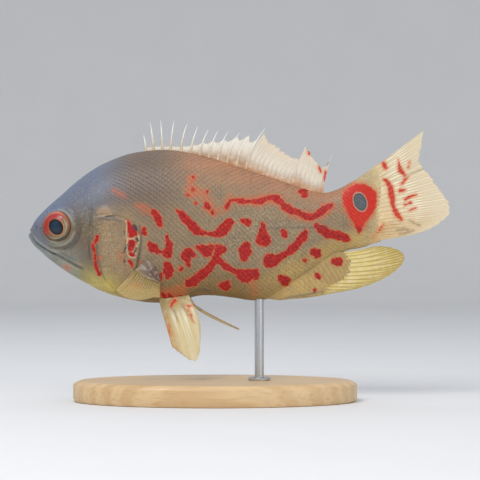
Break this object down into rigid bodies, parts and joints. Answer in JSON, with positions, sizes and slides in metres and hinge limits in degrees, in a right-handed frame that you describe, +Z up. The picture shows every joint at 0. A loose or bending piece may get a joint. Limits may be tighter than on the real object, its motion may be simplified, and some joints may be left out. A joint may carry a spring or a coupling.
{
  "type": "oscar fish model",
  "caption": "Life-size still model of a young oscar fish swimming level, held by one short rod over a low oval base.",
  "frame": {"origin": "centre of the stand base's flat underside", "axes": "+Z up, -X towards the fish's snout, -Y towards the fish's left side"},
  "size_m": [0.1814, 0.068, 0.1207],
  "materials": {
    "head_skin": "smooth wet grey-brown skin",
    "gill_cover_skin": "smooth brownish skin with a red patch",
    "body_skin": "scaled olive-brown skin with scarlet marks",
    "fin": "thin pale yellow web with raised rays",
    "eye": "clear wet gloss over a red and tan iris",
    "stand_steel": "satin",
    "stand_wood": "satin oiled maple"
  },
  "bodies": {
    "root": {"head": "head_skin", "lower_jaw": "head_skin", "gill_cover_left": "gill_cover_skin", "gill_cover_right": "gill_cover_skin", "eye_left": "eye", "eye_right": "eye", "trunk": "body_skin", "tail_stalk": "body_skin", "back_fin_spiny": "fin", "back_fin_soft": "fin", "tail_fin": "fin", "anal_fin": "fin", "pelvic_fin_left": "fin", "pelvic_fin_right": "fin", "pectoral_fin_left": "fin", "pectoral_fin_right": "fin", "stand_rod": "stand_steel", "stand_base": "stand_wood"}
  },
  "joints": []
}
